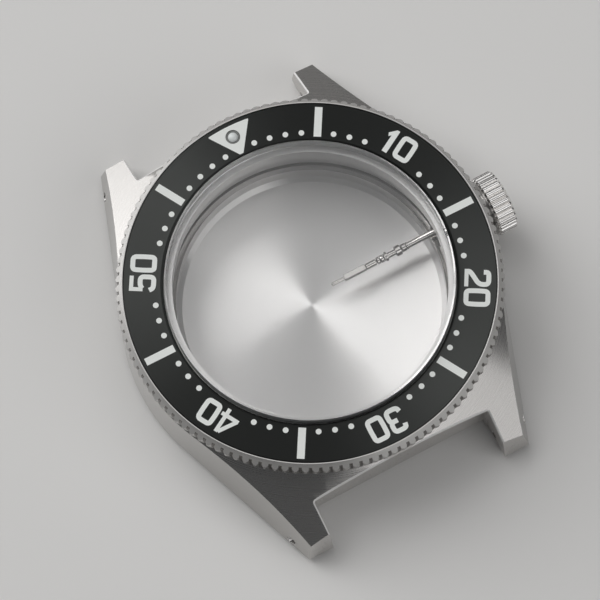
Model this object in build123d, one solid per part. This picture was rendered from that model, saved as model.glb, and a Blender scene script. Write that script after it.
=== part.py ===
from build123d import *
import math
import os

# An empty diver's watch case of the 40 mm class, with its bezel, crystal, screw back, crown and uncut stem.
# Millimetres. The origin is the centre of the back's flat outer face, on the case axis.
# +Z points up to the crystal, +X to the crown at three o'clock, +Y to twelve o'clock.
# The radii grow outwards from the dial that the case takes, and the heights grow upwards from the back.

os.makedirs("parts", exist_ok=True)

# Clearances shared by several pieces
running_gap = 0.05
seat_gap = 0.1
cut_overrun = 1.0

# Dial, movement space and crystal seat
dial_radius = 14.25
dial_side_gap = 0.15
dial_ledge = 0.2
dial_recess_depth = 1.0
movement_relief = 0.2
stem_to_dial_seat = 2.4
rehaut_height = 2.0

# Screw back
back_floor = 1.2
back_floor_bevel = 0.5
back_wall = 1.05
back_thread_step = 0.45
back_flange_width = 1.6
back_flange_thickness = 1.0
back_bevel_rise = 0.5
back_bevel_width = 1.9
back_stand_off = 0.6
back_cup_below_stem = 1.1
stem_height = 4.8
wrench_notch_count = 6
wrench_notch_width = 2.6
wrench_notch_depth = 1.1
wrench_notch_height = 0.55
back_gasket_section = 0.66
back_gasket_space = 0.08
ring_section_sides = 6

# Crystal and its gasket
crystal_ledge = 0.7
crystal_thickness = 2.8
crystal_bevel = 0.35
crystal_foot_bevel = 0.1
crystal_gasket_width = 0.4
crystal_seat_depth = 0.9

# Neck of the case, which the bezel turns on
neck_wall = 1.15
neck_height = 2.1
wire_groove_depth = 0.32
wire_groove_height = 0.54
wire_section = 0.42
wire_height_on_neck = 1.15
wire_gap_degrees = 12.0

# Bezel, its insert and its ratchet
insert_crystal_gap = 0.15
insert_width = 4.05
insert_thickness = 0.9
insert_bevel_width = 0.27
insert_bevel_depth = 0.45
adhesive_thickness = 0.1
adhesive_inset = 0.4
bezel_rim_width = 0.17
bezel_rim_proud = 0.05
bezel_flare = 0.73
bezel_cone_drop = 0.6
bezel_band_height = 0.8
bezel_under_bevel = 0.55
bezel_lift = 0.2
bezel_rest_degrees = -0.9
coin_notch_count = 120
coin_notch_width = 0.84
coin_notch_depth = 0.5
ratchet_count = 120
ratchet_ring_offset = 0.55
ratchet_ring_width = 1.1
ratchet_notch_width = 0.7
ratchet_notch_depth = 0.35
pip_radius = 0.62
pip_seat_radius = 0.76
pip_circle_inset = 1.65
pip_proud = 0.2
pip_foot_thickness = 0.45
pip_dome_degrees = (0, 30, 60)

# Click spring and its pocket
pocket_depth = 0.75
pocket_side_gap = 0.12
pocket_end_degrees = 3.0
spring_place_degrees = 180.0
spring_thickness = 0.18
spring_arc_degrees = 50.0
spring_leaf_length = 2.6
pawl_gap = 0.08

# Mid-case, seen from above and from the side
case_inside_bezel = 0.2
case_foot_flare = 0.25
case_lean = 0.55
top_slope_inset = 0.4
top_slope_degrees = 32.8
strap_width = 20.0
lug_foot_width = 2.8
lug_foot_reach = 3.7
lug_lean_in = 1.5
lug_lean_back = 1.55
strap_wall_inset = 0.3
strap_corner_radius = 0.2
strap_scoop_radius = 2.5
strap_hole_radius = 0.5
strap_hole_from_tip = 2.5
strap_hole_above_foot = 0.9
lug_bevel = 0.16
foot_bevel = 0.2

# Crown tube in the case wall
tube_bore_radius = 1.05
tube_shank_wall = 0.45
tube_collar_wall = 0.9
tube_inner_wall = 0.4
tube_seat_depth = 0.5
tube_seal_section = 0.34
tube_seal_space = 0.04
tube_stand_out = 1.3
tube_thread_gap = 0.1

# Crown
crown_case_gap = 0.75
crown_radius = 3.3
crown_flute_length = 2.1
crown_edge_bevel = 0.18
crown_dome_height = 0.5
crown_dome_edge_radius = 2.85
crown_flute_count = 28
crown_flute_depth = 0.3
crown_flute_width = 0.54
crown_travel = 0.45
crown_socket_radius = 1.45
crown_gasket_thickness = 0.2
crown_retainer_thickness = 0.12
crown_stop_gap = 0.02

# Crown post, gaskets and spring
post_head_thickness = 0.2
post_head_radius = 1.33
post_length = 6.3
post_groove_depth = 0.28
post_groove_width = 0.42
post_gasket_section = 0.3
post_groove_share = (0.18, 0.40)
post_spring_bore_radius = 0.68
post_spring_bore_depth = 1.5
spring_wire = 0.14
spring_side_gap = 0.06
spring_end_gap = 0.03
spring_turns = 4
spring_section_sides = 4

# Stem: lengths from the tip, then the sizes of each stretch
stem_thread_radius = 0.42
stem_thread_in_post = 3.8
stem_thread_length = 8.45
stem_collar_length = 0.95
stem_collar_radius = 0.5
stem_disc_length = 0.4
stem_disc_radius = 0.58
stem_waist_length = 0.75
stem_waist_radius = 0.42
stem_ring_length = 0.34
stem_ring_radius = 0.5
stem_ring_gap = 0.14
stem_ring_count = 3
stem_barrel_length = 1.35
stem_barrel_radius = 0.42
stem_square_length = 2.5
stem_square_width = 0.6
stem_square_corner = 0.06
stem_pilot_length = 1.45
stem_pilot_radius = 0.18

# Radii worked out from the dial outwards
dial_recess_radius = dial_radius + dial_side_gap
rehaut_radius = dial_radius - dial_ledge
movement_radius = dial_recess_radius + movement_relief
thread_bore_radius = movement_radius + back_thread_step
back_thread_radius = thread_bore_radius - running_gap
back_cup_radius = back_thread_radius - back_wall
back_flange_radius = back_thread_radius + back_flange_width
back_land_radius = back_flange_radius - back_bevel_width
back_recess_radius = back_flange_radius + seat_gap
gasket_centre_radius = thread_bore_radius + back_gasket_space + back_gasket_section / 2
gasket_step_radius = gasket_centre_radius + back_gasket_section / 2 + back_gasket_space
crystal_radius = rehaut_radius + crystal_ledge
crystal_seat_radius = crystal_radius + crystal_gasket_width
neck_radius = crystal_seat_radius + neck_wall
bezel_bore_radius = neck_radius + running_gap
wire_centre_radius = neck_radius + running_gap / 2
insert_inner_radius = crystal_radius + insert_crystal_gap
insert_outer_radius = insert_inner_radius + insert_width
bezel_recess_radius = insert_outer_radius + running_gap
bezel_rim_radius = bezel_recess_radius + bezel_rim_width
bezel_radius = bezel_rim_radius + bezel_flare
pip_circle_radius = insert_outer_radius - pip_circle_inset
ratchet_inner_radius = bezel_bore_radius + ratchet_ring_offset
ratchet_outer_radius = ratchet_inner_radius + ratchet_ring_width
case_radius = bezel_radius - case_inside_bezel
case_foot_radius = case_radius + case_foot_flare
top_slope_radius = case_radius - top_slope_inset

# Heights worked out from the back upwards
case_foot_z = back_stand_off
flange_top_z = back_bevel_rise + back_flange_thickness
back_recess_z = flange_top_z + seat_gap
gasket_z = back_recess_z + back_gasket_section / 2
gasket_step_z = gasket_z + back_gasket_section / 2 + back_gasket_space
back_cup_z = stem_height - back_cup_below_stem
thread_top_z = back_cup_z + back_flange_thickness / 2
dial_seat_z = stem_height + stem_to_dial_seat
dial_recess_z = dial_seat_z - dial_recess_depth
crystal_seat_z = dial_seat_z + rehaut_height
neck_top_z = crystal_seat_z + crystal_seat_depth
bezel_seat_z = neck_top_z - neck_height
bezel_foot_z = bezel_seat_z + bezel_lift
bezel_floor_z = neck_top_z + seat_gap
insert_foot_z = bezel_floor_z + adhesive_thickness
insert_top_z = insert_foot_z + insert_thickness
bezel_top_z = insert_top_z + bezel_rim_proud
bezel_band_top_z = bezel_top_z - bezel_cone_drop
bezel_band_foot_z = bezel_band_top_z - bezel_band_height
wire_z = bezel_seat_z + wire_height_on_neck
pocket_floor_z = bezel_seat_z - pocket_depth

# Where the pawl meets the ratchet, and how far round the leaf reaches back from it
pawl_degrees = spring_place_degrees + bezel_rest_degrees
leaf_degrees = math.degrees((spring_leaf_length - ratchet_notch_width) / ratchet_outer_radius)

# Lugs: where the ends of the flanks lie at the foot and at the top of the blank
lug_foot_x = strap_width / 2 + lug_foot_width
lug_foot_y = case_radius + lug_foot_reach
lug_top_x = lug_foot_x - lug_lean_in
lug_top_y = lug_foot_y - lug_lean_back
strap_wall_y = case_radius - strap_wall_inset
strap_hole_y = lug_foot_y - strap_hole_from_tip
strap_hole_z = case_foot_z + strap_hole_above_foot

# The sloping top, carried on up to the top of the blank and out past the lug tips
blank_top_z = bezel_seat_z + cut_overrun
slope_rise = math.tan(math.radians(top_slope_degrees))
slope_inner_radius = top_slope_radius - cut_overrun / slope_rise
slope_outer_radius = math.hypot(lug_foot_x, lug_foot_y)
slope_outer_z = bezel_seat_z - (slope_outer_radius - top_slope_radius) * slope_rise

# Places along the crown axis, outwards from the case axis
stem_axis = Axis((0, 0, stem_height), (1, 0, 0))
tube_shank_radius = tube_bore_radius + tube_shank_wall
tube_collar_radius = tube_bore_radius + tube_collar_wall
tube_inner_x = movement_radius + tube_inner_wall
tube_seat_x = case_radius - tube_seat_depth - tube_seal_section
tube_collar_x = tube_seat_x + tube_seal_section + tube_seal_space
tube_outer_x = case_radius + tube_stand_out
crown_inner_x = case_radius + crown_case_gap
crown_flute_end_x = crown_inner_x + crown_flute_length
crown_outer_x = crown_flute_end_x + crown_dome_height
crown_gasket_x = tube_outer_x + crown_travel + running_gap
crown_socket_x = crown_gasket_x + crown_gasket_thickness
post_head_x = crown_socket_x + crown_retainer_thickness + crown_stop_gap
post_outer_x = post_head_x + post_head_thickness
crown_roof_x = post_outer_x + crown_travel + crown_stop_gap
post_inner_x = post_outer_x - post_length
post_radius = tube_bore_radius - running_gap
crown_bore_radius = tube_collar_radius + tube_thread_gap


def turned(points):
    """A solid turned about the case axis from (radius, height) points."""
    profile = Polyline([(radius, 0, height) for radius, height in points], close=True)
    return revolve(make_face(profile), Axis.Z)


def crown_turned(points):
    """A solid turned about the stem axis from (distance along it, radius) points."""
    profile = Polyline([(along, 0, stem_height + radius) for along, radius in points], close=True)
    return revolve(make_face(profile), stem_axis)


def ring(inner_radius, outer_radius, low_z, high_z):
    """A plain ring about the case axis."""
    return turned([(inner_radius, low_z), (outer_radius, low_z), (outer_radius, high_z), (inner_radius, high_z)])


def crown_ring(inner_radius, outer_radius, inner_x, outer_x):
    """A plain ring about the stem axis."""
    return crown_turned(
        [(inner_x, inner_radius), (inner_x, outer_radius), (outer_x, outer_radius), (outer_x, inner_radius)]
    )


def o_ring(centre_radius, section, height, degrees=360):
    """A ring about the case axis, or part of one, of rubber cord or wire."""
    profile = Pos(centre_radius, 0, height) * Rot(90, 0, 0) * RegularPolygon(section / 2, ring_section_sides)
    return revolve(profile, Axis.Z, revolution_arc=degrees)


def crown_o_ring(centre_radius, section, along):
    """A rubber ring about the stem axis."""
    place = Pos(along, 0, stem_height + centre_radius)
    profile = place * Rot(90, 0, 0) * RegularPolygon(section / 2, ring_section_sides)
    return revolve(profile, stem_axis)


def around(tool, count, start_degrees=0):
    """Copies of a tool spaced evenly about the case axis."""
    return [Rot(0, 0, start_degrees + 360 * step / count) * tool for step in range(count)]


def case_outline(radius, end_x, end_y, height):
    """The case seen from above: a round middle with straight flanks running tangent to the lug ends."""
    reach = math.hypot(end_x, end_y)
    touch = math.atan2(end_y, end_x) - math.acos(radius / reach)
    touch_x = radius * math.cos(touch)
    touch_y = radius * math.sin(touch)
    edges = [
        Line((-end_x, end_y), (end_x, end_y)),
        Line((end_x, end_y), (touch_x, touch_y)),
        ThreePointArc((touch_x, touch_y), (radius, 0), (touch_x, -touch_y)),
        Line((touch_x, -touch_y), (end_x, -end_y)),
        Line((end_x, -end_y), (-end_x, -end_y)),
        Line((-end_x, -end_y), (-touch_x, -touch_y)),
        ThreePointArc((-touch_x, -touch_y), (-radius, 0), (-touch_x, touch_y)),
        Line((-touch_x, touch_y), (-end_x, end_y)),
    ]
    return Pos(0, 0, height) * make_face(edges)


def mid_case():
    """The machined middle: lugs, neck, crystal seat, dial seat, thread bore and crown hole."""
    foot = case_outline(case_foot_radius, lug_foot_x, lug_foot_y, case_foot_z)
    top = case_outline(case_foot_radius - case_lean, lug_top_x, lug_top_y, blank_top_z)
    blank = loft([foot, top], ruled=True)
    foot_edges = blank.faces().sort_by(Axis.Z)[0].edges()
    body = chamfer(foot_edges, foot_bevel) & sloping_top()
    for side in (1, -1):
        body -= strap_gap(side)
    body = bevel_strap_edges(body)
    body -= ring(0, slope_outer_radius, bezel_seat_z, blank_top_z)
    body += ring(movement_radius, neck_radius, bezel_seat_z, neck_top_z)
    body -= case_bore()
    for side in (1, -1):
        hole = Rot(0, 90, 0) * Cylinder(strap_hole_radius, 2 * lug_foot_x + 2 * lug_foot_width)
        body -= Pos(0, side * strap_hole_y, strap_hole_z) * hole
    body += rehaut()
    body -= crown_hole()
    body -= spring_pocket()
    body -= ring(
        neck_radius - wire_groove_depth,
        neck_radius + cut_overrun,
        wire_z - wire_groove_height / 2,
        wire_z + wire_groove_height / 2,
    )
    return body


def sloping_top():
    """The space under the lathe's cut that slopes the top down from the bezel's edge to the lug ends."""
    return turned(
        [
            (0, case_foot_z - cut_overrun),
            (slope_outer_radius, case_foot_z - cut_overrun),
            (slope_outer_radius, slope_outer_z),
            (slope_inner_radius, blank_top_z),
            (0, blank_top_z),
        ]
    )


def strap_gap(side):
    """The space between one pair of lugs, with the scoop that clears the end of the strap."""
    depth = lug_foot_reach + strap_wall_inset + cut_overrun
    height = bezel_seat_z + 2 * cut_overrun
    corner = 2 * strap_corner_radius
    plan = RectangleRounded(strap_width, depth + corner, strap_corner_radius)
    slot = extrude(plan, amount=height)
    middle_y = side * (strap_wall_y + (depth + corner) / 2)
    scoop = Rot(0, 90, 0) * Cylinder(strap_scoop_radius, strap_width - corner)
    return Pos(0, middle_y, case_foot_z - cut_overrun) * slot + Pos(0, side * strap_hole_y, strap_hole_z) * scoop


def bevel_strap_edges(body):
    """Polished bevels along the upper edges between the lugs."""
    reach = strap_width / 2 + seat_gap
    chosen = []
    for face in body.faces().filter_by(GeomType.CONE):
        for edge in face.edges():
            middle = edge @ (1 / 2)
            if abs(middle.X) < reach and strap_wall_y - seat_gap < abs(middle.Y) < lug_top_y - seat_gap:
                chosen.append(edge)
    return chamfer(chosen, lug_bevel)


def case_bore():
    """Everything turned out of the case from below, and the seat for the crystal."""
    below = case_foot_z - cut_overrun
    return turned(
        [
            (0, below),
            (back_recess_radius, below),
            (back_recess_radius, back_recess_z),
            (gasket_step_radius, back_recess_z),
            (gasket_step_radius, gasket_step_z),
            (thread_bore_radius, gasket_step_z),
            (thread_bore_radius, thread_top_z),
            (movement_radius, thread_top_z),
            (movement_radius, crystal_seat_z),
            (crystal_seat_radius, crystal_seat_z),
            (crystal_seat_radius, neck_top_z + cut_overrun),
            (0, neck_top_z + cut_overrun),
        ]
    )


def rehaut():
    """The inner flange: it carries the crystal on top and the dial underneath."""
    inner_ring = turned(
        [
            (dial_recess_radius, dial_recess_z),
            (movement_radius, dial_recess_z),
            (movement_radius, crystal_seat_z),
            (rehaut_radius, crystal_seat_z),
            (rehaut_radius, dial_seat_z),
            (dial_recess_radius, dial_seat_z),
        ]
    )
    return inner_ring


def crown_hole():
    """The stepped hole that takes the crown tube."""
    return crown_turned(
        [
            (dial_radius - cut_overrun, 0),
            (dial_radius - cut_overrun, tube_bore_radius + seat_gap),
            (tube_inner_x, tube_bore_radius + seat_gap),
            (tube_inner_x, tube_shank_radius),
            (tube_seat_x, tube_shank_radius),
            (tube_seat_x, tube_collar_radius + seat_gap),
            (case_radius + cut_overrun, tube_collar_radius + seat_gap),
            (case_radius + cut_overrun, 0),
        ]
    )


def spring_pocket():
    """The curved pocket in the bezel seat for the click spring."""
    pocket_degrees = spring_arc_degrees + leaf_degrees + 2 * pocket_end_degrees
    plan = arc_strip(ratchet_inner_radius - pocket_side_gap, ratchet_outer_radius + pocket_side_gap, pocket_degrees)
    pocket = Pos(0, 0, pocket_floor_z) * extrude(plan, amount=pocket_depth + cut_overrun)
    return Rot(0, 0, pawl_degrees - (spring_arc_degrees + leaf_degrees) / 2) * pocket


def arc_strip(inner_radius, outer_radius, degrees):
    """A flat strip bent round the case axis, centred on the X axis."""
    half = math.radians(degrees / 2)

    def at(radius, angle):
        return (radius * math.cos(angle), radius * math.sin(angle))

    return make_face(
        [
            ThreePointArc(at(inner_radius, -half), at(inner_radius, 0), at(inner_radius, half)),
            Line(at(inner_radius, half), at(outer_radius, half)),
            ThreePointArc(at(outer_radius, half), at(outer_radius, 0), at(outer_radius, -half)),
            Line(at(outer_radius, -half), at(inner_radius, -half)),
        ]
    )


def click_spring():
    """A leaf riveted flat in its pocket, with one end bent up into a notch of the bezel's ratchet."""
    strip = extrude(arc_strip(ratchet_inner_radius, ratchet_outer_radius, spring_arc_degrees), amount=spring_thickness)
    flat = Rot(0, 0, -leaf_degrees - spring_arc_degrees / 2) * (Pos(0, 0, pocket_floor_z) * strip)
    # The leaf is drawn from the side, tangent to the ring, and rises to the steep face of the notch.
    tip_along = ratchet_notch_width / 2 - pawl_gap
    tip_z = bezel_foot_z + ratchet_notch_depth - 2 * pawl_gap
    root_along = tip_along - spring_leaf_length
    leaf_side = Polyline(
        (root_along, pocket_floor_z),
        (root_along + spring_thickness, pocket_floor_z),
        (tip_along, tip_z - spring_thickness),
        (tip_along, tip_z),
        (root_along, pocket_floor_z + spring_thickness),
        close=True,
    )
    leaf = extrude(Plane.YZ * make_face(leaf_side), amount=ratchet_ring_width - 2 * pocket_side_gap)
    leaf = Pos(ratchet_inner_radius + pocket_side_gap, 0, 0) * leaf
    return Rot(0, 0, pawl_degrees) * (flat + leaf)


def crystal():
    """The flat window with a ground bevel round its top."""
    top_z = crystal_seat_z + crystal_thickness
    return turned(
        [
            (0, crystal_seat_z),
            (crystal_radius - crystal_foot_bevel, crystal_seat_z),
            (crystal_radius, crystal_seat_z + crystal_foot_bevel),
            (crystal_radius, top_z - crystal_bevel),
            (crystal_radius - crystal_bevel, top_z),
            (0, top_z),
        ]
    )


def crystal_gasket():
    return ring(crystal_radius, crystal_seat_radius, crystal_seat_z, neck_top_z)


def bezel_wire():
    """An open ring of spring wire, half in the neck's groove and half in the bezel's."""
    wire = o_ring(wire_centre_radius, wire_section, wire_z, 360 - wire_gap_degrees)
    return Rot(0, 0, wire_gap_degrees / 2) * wire


def bezel():
    """The turning ring, with a coin edge outside and a ratchet underneath."""
    body = Rot(0, 0, bezel_rest_degrees) * coin_edge_blank()
    body -= around(coin_notch(), coin_notch_count, bezel_rest_degrees)
    body -= bezel_bore()
    body -= around(ratchet_notch(), ratchet_count, bezel_rest_degrees)
    return body


def coin_edge_blank():
    """The outside of the ring before its notches are cut, with one flat side for each tooth."""
    profile = [
        (bezel_radius - bezel_under_bevel, bezel_foot_z),
        (bezel_radius, bezel_band_foot_z),
        (bezel_radius, bezel_band_top_z),
        (bezel_rim_radius, bezel_top_z),
    ]
    return loft([Pos(0, 0, z) * RegularPolygon(radius, coin_notch_count) for radius, z in profile], ruled=True)


def bezel_bore():
    """What is turned out of the ring: the recess for the insert, the bore on the neck and the wire's groove."""
    groove_radius = bezel_bore_radius + wire_groove_depth
    return turned(
        [
            (0, bezel_foot_z - cut_overrun),
            (bezel_bore_radius, bezel_foot_z - cut_overrun),
            (bezel_bore_radius, wire_z - wire_groove_height / 2),
            (groove_radius, wire_z - wire_groove_height / 2),
            (groove_radius, wire_z + wire_groove_height / 2),
            (bezel_bore_radius, wire_z + wire_groove_height / 2),
            (bezel_bore_radius, bezel_floor_z),
            (bezel_recess_radius, bezel_floor_z),
            (bezel_recess_radius, bezel_top_z + cut_overrun),
            (0, bezel_top_z + cut_overrun),
        ]
    )


def coin_notch():
    """One V notch of the coin edge, cut straight down through the edge of the bezel."""
    spread = coin_notch_width * (coin_notch_depth + cut_overrun) / coin_notch_depth
    root_radius = bezel_radius - coin_notch_depth
    outline = Polyline(
        (root_radius, 0),
        (bezel_radius + cut_overrun, -spread / 2),
        (bezel_radius + cut_overrun, spread / 2),
        close=True,
    )
    height = bezel_top_z - bezel_foot_z + 2 * cut_overrun
    notch = extrude(make_face(outline), amount=height)
    return Pos(0, 0, bezel_foot_z - cut_overrun) * notch


def ratchet_notch():
    """One saw tooth notch: a ramp that lifts the pawl one way and a steep face that stops it the other way."""
    half = ratchet_notch_width / 2
    side = Polyline(
        (-half, bezel_foot_z - cut_overrun),
        (half, bezel_foot_z - cut_overrun),
        (half, bezel_foot_z + ratchet_notch_depth),
        (-half, bezel_foot_z),
        close=True,
    )
    notch = extrude(Plane.YZ * make_face(side), amount=ratchet_ring_width)
    return Pos(ratchet_inner_radius, 0, 0) * notch


def pip_place():
    """The centre of the bead on the insert, under the zero mark."""
    return Rot(0, 0, bezel_rest_degrees) * Pos(0, pip_circle_radius, 0)


def bezel_insert():
    """The flat marked ring, bevelled down towards the crystal."""
    body = turned(
        [
            (insert_inner_radius, insert_foot_z),
            (insert_outer_radius, insert_foot_z),
            (insert_outer_radius, insert_top_z),
            (insert_inner_radius + insert_bevel_width, insert_top_z),
            (insert_inner_radius, insert_top_z - insert_bevel_depth),
        ]
    )
    return body - pip_place() * Pos(0, 0, insert_top_z) * Cylinder(pip_seat_radius, 2 * insert_thickness + cut_overrun)


def insert_adhesive():
    body = ring(bezel_bore_radius + adhesive_inset, insert_outer_radius - adhesive_inset, bezel_floor_z, insert_foot_z)
    return body - pip_place() * Pos(0, 0, insert_foot_z) * Cylinder(pip_seat_radius, cut_overrun)


def lume_pip():
    """A glass bead with a wide foot, set in the insert's hole."""
    foot_radius = pip_seat_radius - running_gap
    foot_top_z = bezel_floor_z + pip_foot_thickness
    dome_z = insert_top_z + pip_proud - pip_radius
    dome = []
    for degrees in pip_dome_degrees:
        angle = math.radians(degrees)
        dome.append((pip_radius * math.cos(angle), dome_z + pip_radius * math.sin(angle)))
    foot = [(0, bezel_floor_z), (foot_radius, bezel_floor_z), (foot_radius, foot_top_z), (pip_radius, foot_top_z)]
    return pip_place() * turned(foot + dome + [(0, dome_z + pip_radius)])


def case_back():
    """A threaded cup with a flange, a bevelled rim and notches for the opening wrench."""
    cup = turned(
        [
            (0, 0),
            (back_land_radius, 0),
            (back_flange_radius, back_bevel_rise),
            (back_flange_radius, flange_top_z),
            (back_thread_radius, flange_top_z),
            (back_thread_radius, back_cup_z),
            (back_cup_radius, back_cup_z),
            (back_cup_radius, back_floor + back_floor_bevel),
            (back_cup_radius - back_floor_bevel, back_floor),
            (0, back_floor),
        ]
    )
    notch = Pos(back_flange_radius, 0, wrench_notch_height / 2) * Box(
        2 * wrench_notch_depth, wrench_notch_width, wrench_notch_height + back_bevel_rise
    )
    return cup - around(notch, wrench_notch_count)


def case_back_gasket():
    return o_ring(gasket_centre_radius, back_gasket_section, gasket_z)


def crown_tube():
    """The tube pressed into the case wall, with a threaded collar outside."""
    return crown_turned(
        [
            (tube_inner_x, tube_bore_radius),
            (tube_inner_x, tube_shank_radius),
            (tube_collar_x, tube_shank_radius),
            (tube_collar_x, tube_collar_radius),
            (tube_outer_x, tube_collar_radius),
            (tube_outer_x, tube_bore_radius),
        ]
    )


def tube_seal():
    return crown_o_ring(tube_shank_radius + tube_seal_section / 2 + tube_seal_space, tube_seal_section,
                        tube_seat_x + tube_seal_section / 2 + tube_seal_space / 2)


def crown():
    """The fluted button, bored to cover the tube and to hold the post's head."""
    dome_rise = crown_outer_x - crown_flute_end_x
    dome_radius = (crown_dome_edge_radius ** 2 + (dome_rise / 2) ** 2) / dome_rise
    shoulder_x = crown_outer_x - dome_rise / 2
    edge_radius = crown_radius - crown_edge_bevel
    outline = [
        Line((crown_inner_x, stem_height), (crown_inner_x, stem_height + edge_radius)),
        Line((crown_inner_x, stem_height + edge_radius), (crown_inner_x + crown_edge_bevel, stem_height + crown_radius)),
        Line((crown_inner_x + crown_edge_bevel, stem_height + crown_radius),
             (crown_flute_end_x - crown_edge_bevel, stem_height + crown_radius)),
        Line((crown_flute_end_x - crown_edge_bevel, stem_height + crown_radius),
             (crown_flute_end_x, stem_height + edge_radius)),
        Line((crown_flute_end_x, stem_height + edge_radius), (shoulder_x, stem_height + crown_dome_edge_radius)),
        RadiusArc((shoulder_x, stem_height + crown_dome_edge_radius), (crown_outer_x, stem_height), dome_radius),
        Line((crown_outer_x, stem_height), (crown_inner_x, stem_height)),
    ]
    body = revolve(Plane.XZ * make_face(outline), stem_axis)
    body -= crown_turned(
        [
            (crown_inner_x - cut_overrun, 0),
            (crown_inner_x - cut_overrun, crown_bore_radius),
            (crown_socket_x, crown_bore_radius),
            (crown_socket_x, crown_socket_radius),
            (crown_roof_x, crown_socket_radius),
            (crown_roof_x, 0),
        ]
    )
    return body - crown_flutes()


def crown_flutes():
    """The V flutes round the crown, cut straight along its axis."""
    spread = crown_flute_width * (crown_flute_depth + cut_overrun) / crown_flute_depth
    outline = Polyline(
        (0, crown_radius - crown_flute_depth),
        (spread / 2, crown_radius + cut_overrun),
        (-spread / 2, crown_radius + cut_overrun),
        close=True,
    )
    length = crown_flute_length + cut_overrun
    flute = extrude(Plane.YZ * make_face(outline), amount=length)
    start = Pos(crown_inner_x - cut_overrun, 0, stem_height)
    return [start * Rot(360 * step / crown_flute_count, 0, 0) * flute for step in range(crown_flute_count)]


def crown_gasket():
    return crown_ring(crown_socket_radius - crown_gasket_thickness, crown_bore_radius, crown_gasket_x, crown_socket_x)


def crown_retainer():
    retainer_end_x = crown_socket_x + crown_retainer_thickness
    return crown_ring(post_radius + running_gap, crown_socket_radius, crown_socket_x, retainer_end_x)


def crown_post():
    """The core of the crown: head, spring bore, gasket grooves and the tapped end for the stem."""
    spring_floor_x = post_outer_x - post_spring_bore_depth
    body = crown_turned(
        [
            (post_inner_x, stem_thread_radius),
            (post_inner_x, post_radius),
            (post_head_x, post_radius),
            (post_head_x, post_head_radius),
            (post_outer_x, post_head_radius),
            (post_outer_x, post_spring_bore_radius),
            (spring_floor_x, post_spring_bore_radius),
            (spring_floor_x, 0),
            (post_inner_x + stem_thread_in_post, 0),
            (post_inner_x + stem_thread_in_post, stem_thread_radius),
        ]
    )
    for share in post_groove_share:
        middle = post_inner_x + share * post_length
        body -= crown_ring(
            post_radius - post_groove_depth,
            post_radius + cut_overrun,
            middle - post_groove_width / 2,
            middle + post_groove_width / 2,
        )
    return body


def post_gasket(share):
    centre_radius = tube_bore_radius - running_gap / 4 - post_gasket_section / 2
    return crown_o_ring(centre_radius, post_gasket_section, post_inner_x + share * post_length)


def crown_spring():
    """The coil that pushes the crown off the post, one unbroken wire."""
    coil_radius = post_spring_bore_radius - spring_side_gap - spring_wire / 2
    inner_x = post_outer_x - post_spring_bore_depth + spring_end_gap + spring_wire / 2
    outer_x = crown_roof_x - spring_end_gap - spring_wire / 2
    length = outer_x - inner_x
    path = Helix(length / spring_turns, length, coil_radius)
    section = Plane(origin=path @ 0, z_dir=path % 0) * RegularPolygon(spring_wire / 2, spring_section_sides)
    coil = sweep(section, path=path, is_frenet=True)
    return Pos(inner_x, 0, stem_height) * Rot(0, 90, 0) * coil


def stem():
    """The uncut stem: screwed into the post, stepped, and squared near its tip."""
    thread_end_x = post_inner_x + stem_thread_in_post
    collar_x = thread_end_x - stem_thread_length
    disc_x = collar_x - stem_collar_length
    waist_x = disc_x - stem_disc_length
    ring_x = waist_x - stem_waist_length
    ring_pitch = stem_ring_length + stem_ring_gap
    barrel_x = ring_x - stem_ring_count * ring_pitch + stem_ring_gap
    square_x = barrel_x - stem_barrel_length
    pilot_x = square_x - stem_square_length
    tip_x = pilot_x - stem_pilot_length
    body = crown_ring(0, stem_thread_radius, collar_x, thread_end_x)
    body += crown_ring(0, stem_collar_radius, disc_x, collar_x)
    body += crown_ring(0, stem_disc_radius, waist_x, disc_x)
    body += crown_ring(0, stem_waist_radius, square_x, waist_x)
    for step in range(stem_ring_count):
        low_x = barrel_x + step * ring_pitch
        body += crown_ring(stem_barrel_radius / 2, stem_ring_radius, low_x, low_x + stem_ring_length)
    square = extrude(
        Plane.YZ * RectangleRounded(stem_square_width, stem_square_width, stem_square_corner),
        amount=stem_square_length,
    )
    body += Pos(pilot_x, 0, stem_height) * square
    body += crown_ring(0, stem_pilot_radius, tip_x, pilot_x)
    return body


pieces = {
    "mid_case": mid_case(),
    "crystal": crystal(),
    "crystal_gasket": crystal_gasket(),
    "bezel_wire": bezel_wire(),
    "click_spring": click_spring(),
    "bezel": bezel(),
    "bezel_insert": bezel_insert(),
    "insert_adhesive": insert_adhesive(),
    "lume_pip": lume_pip(),
    "case_back": case_back(),
    "case_back_gasket": case_back_gasket(),
    "crown_tube": crown_tube(),
    "tube_seal": tube_seal(),
    "crown": crown(),
    "crown_gasket": crown_gasket(),
    "crown_retainer": crown_retainer(),
    "crown_post": crown_post(),
    "post_gasket_inner": post_gasket(post_groove_share[0]),
    "post_gasket_outer": post_gasket(post_groove_share[1]),
    "crown_spring": crown_spring(),
    "stem": stem(),
}

for name, piece in pieces.items():
    export_step(piece, "parts/" + name + ".step")
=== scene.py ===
import bmesh
import bpy
import math
from mathutils import Matrix, Vector


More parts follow.
